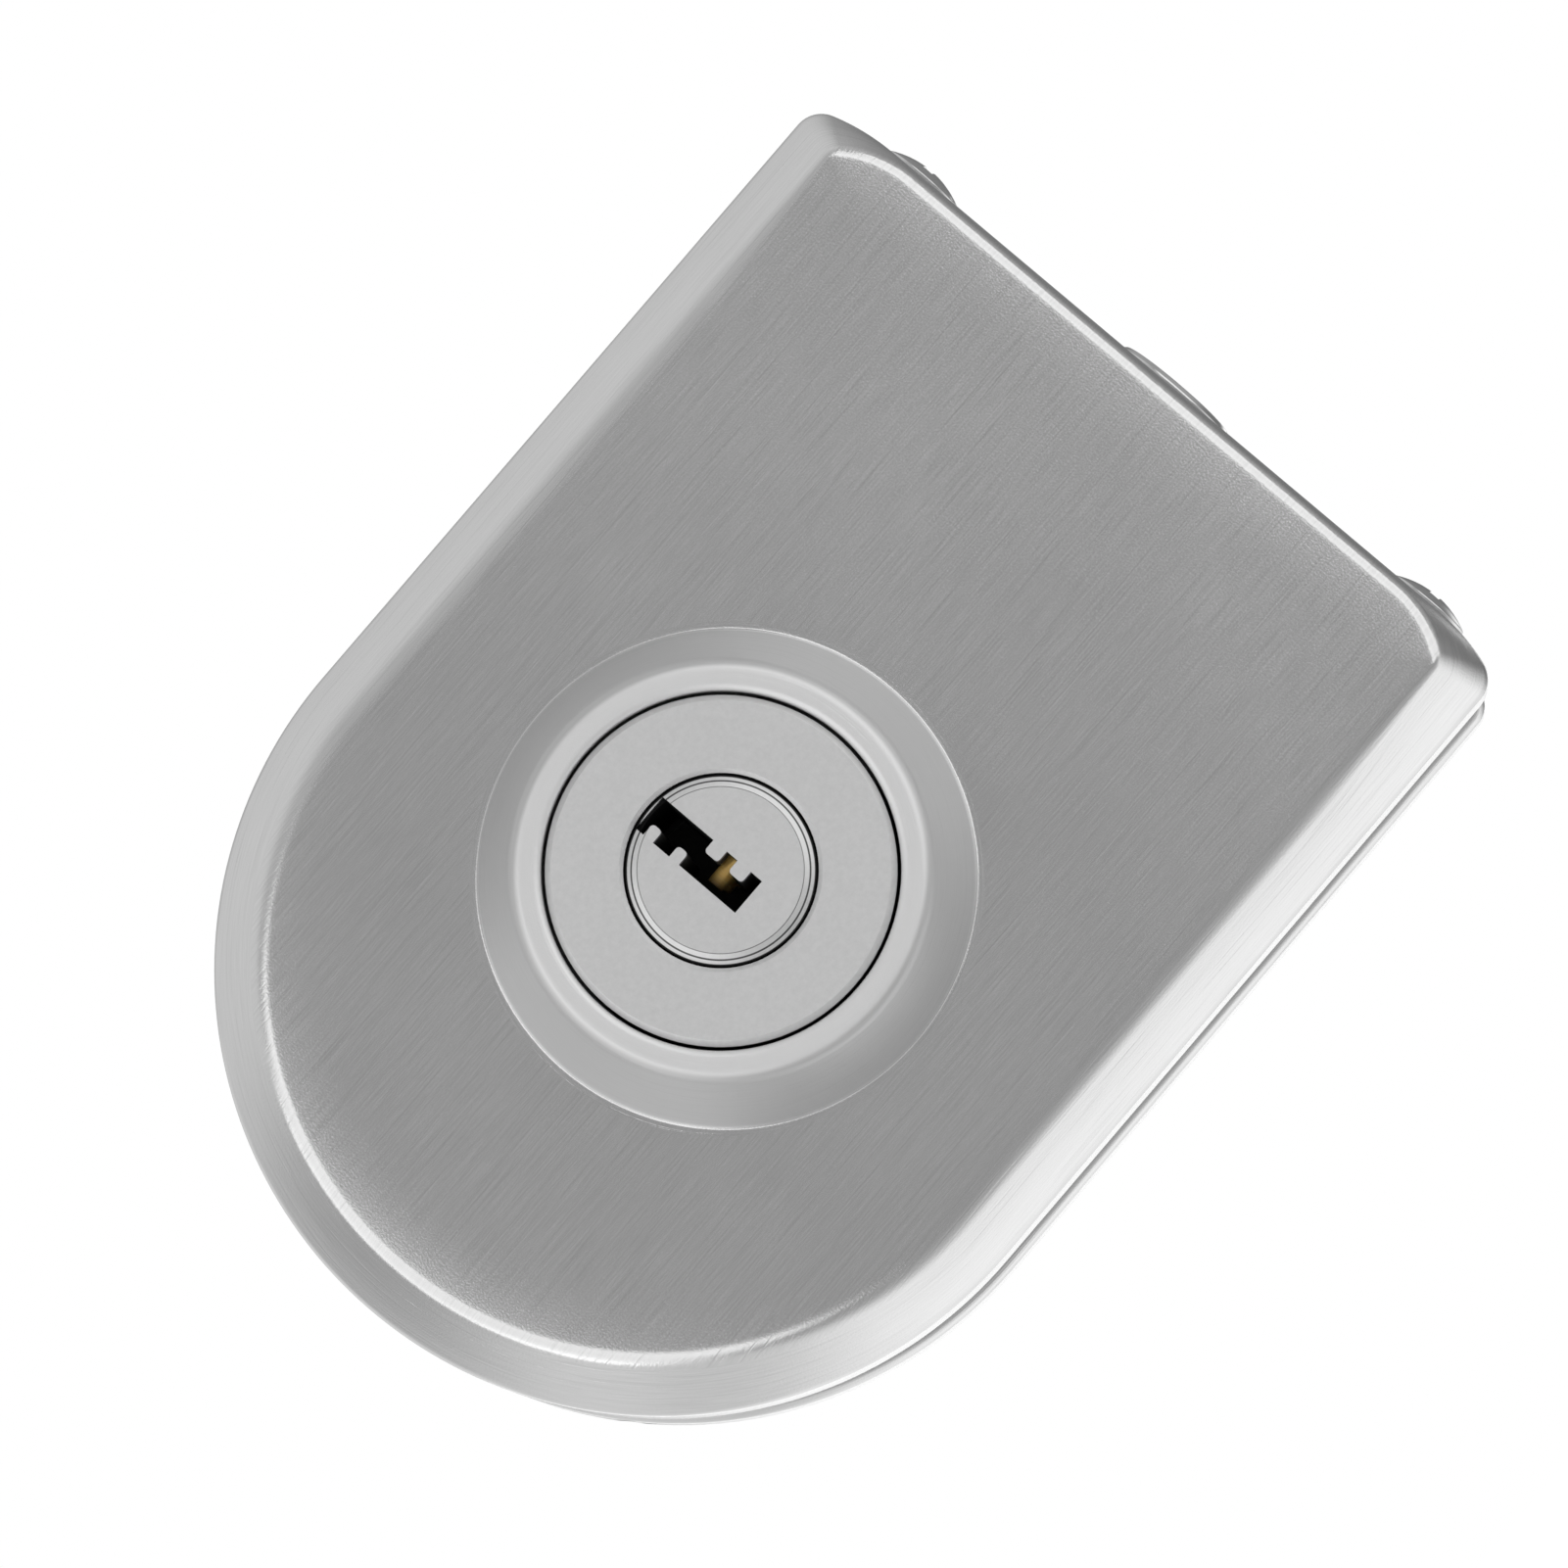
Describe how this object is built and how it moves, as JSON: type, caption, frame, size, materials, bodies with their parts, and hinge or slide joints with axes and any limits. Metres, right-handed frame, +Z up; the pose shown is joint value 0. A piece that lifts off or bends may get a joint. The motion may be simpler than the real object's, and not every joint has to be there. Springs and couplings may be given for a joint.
{
  "type": "glass door lock",
  "caption": "D-shaped patch lock for a frameless glass door: drawn steel covers with a raised collar, round key cylinder, and a round deadbolt thrown from the square edge.",
  "frame": {"origin": "on the bolt's axis, in the middle of the door glass, at the lock's square edge", "axes": "+Z up, +X the way the bolt throws, -Y out of the keyed front face"},
  "size_m": [0.1041, 0.0428, 0.075],
  "materials": {
    "cover_steel": "brushed along the length, soft satin",
    "satin_nickel": "satin nickel plate",
    "bolt_steel": "polished",
    "fastener_steel": "bright plated",
    "plate_steel": "plain milled",
    "case_zinc": "die cast, matt",
    "brass": "turned brass",
    "spring_steel": "oiled spring steel",
    "gasket_rubber": "matt black"
  },
  "bodies": {
    "housing": {"front_cover": "cover_steel", "rear_cover": "cover_steel", "front_clamp_plate": "plate_steel", "rear_clamp_plate": "plate_steel", "front_gasket": "gasket_rubber", "rear_gasket": "gasket_rubber", "cover_posts": "plate_steel", "post_screws": "fastener_steel", "clamp_screws": "fastener_steel", "rear_set_screws": "fastener_steel", "faceplate": "cover_steel", "faceplate_screws": "fastener_steel", "case_front": "case_zinc", "case_rear": "case_zinc", "case_screws": "fastener_steel", "cylinder_body": "satin_nickel", "cylinder_screws": "fastener_steel", "driver_pins": "brass", "pin_springs": "spring_steel", "pin_caps": "brass", "detent_ball": "bolt_steel", "detent_spring": "spring_steel", "detent_screw": "fastener_steel"},
    "plug": {"cylinder_plug": "satin_nickel", "key_pins": "brass", "plug_circlip": "spring_steel", "tailpiece": "plate_steel", "drive_pinion": "bolt_steel"},
    "bolt": {"deadbolt": "bolt_steel", "rack_bar": "plate_steel", "bolt_pin": "bolt_steel"}
  },
  "joints": [
    {"name": "plug_turn", "type": "hinge", "parent": "housing", "child": "plug", "pos_m": [-0.0555, 0, 0], "axis": [0, 1, 0], "range_deg": [0, 180]},
    {"name": "bolt_throw", "type": "slide", "parent": "housing", "child": "bolt", "axis": [1, 0, 0], "range_m": [0, 0.01414]}
  ],
  "couplings": [
    {"joint": "plug_turn", "follows": "bolt_throw", "rad_per_m": 222.22}
  ]
}
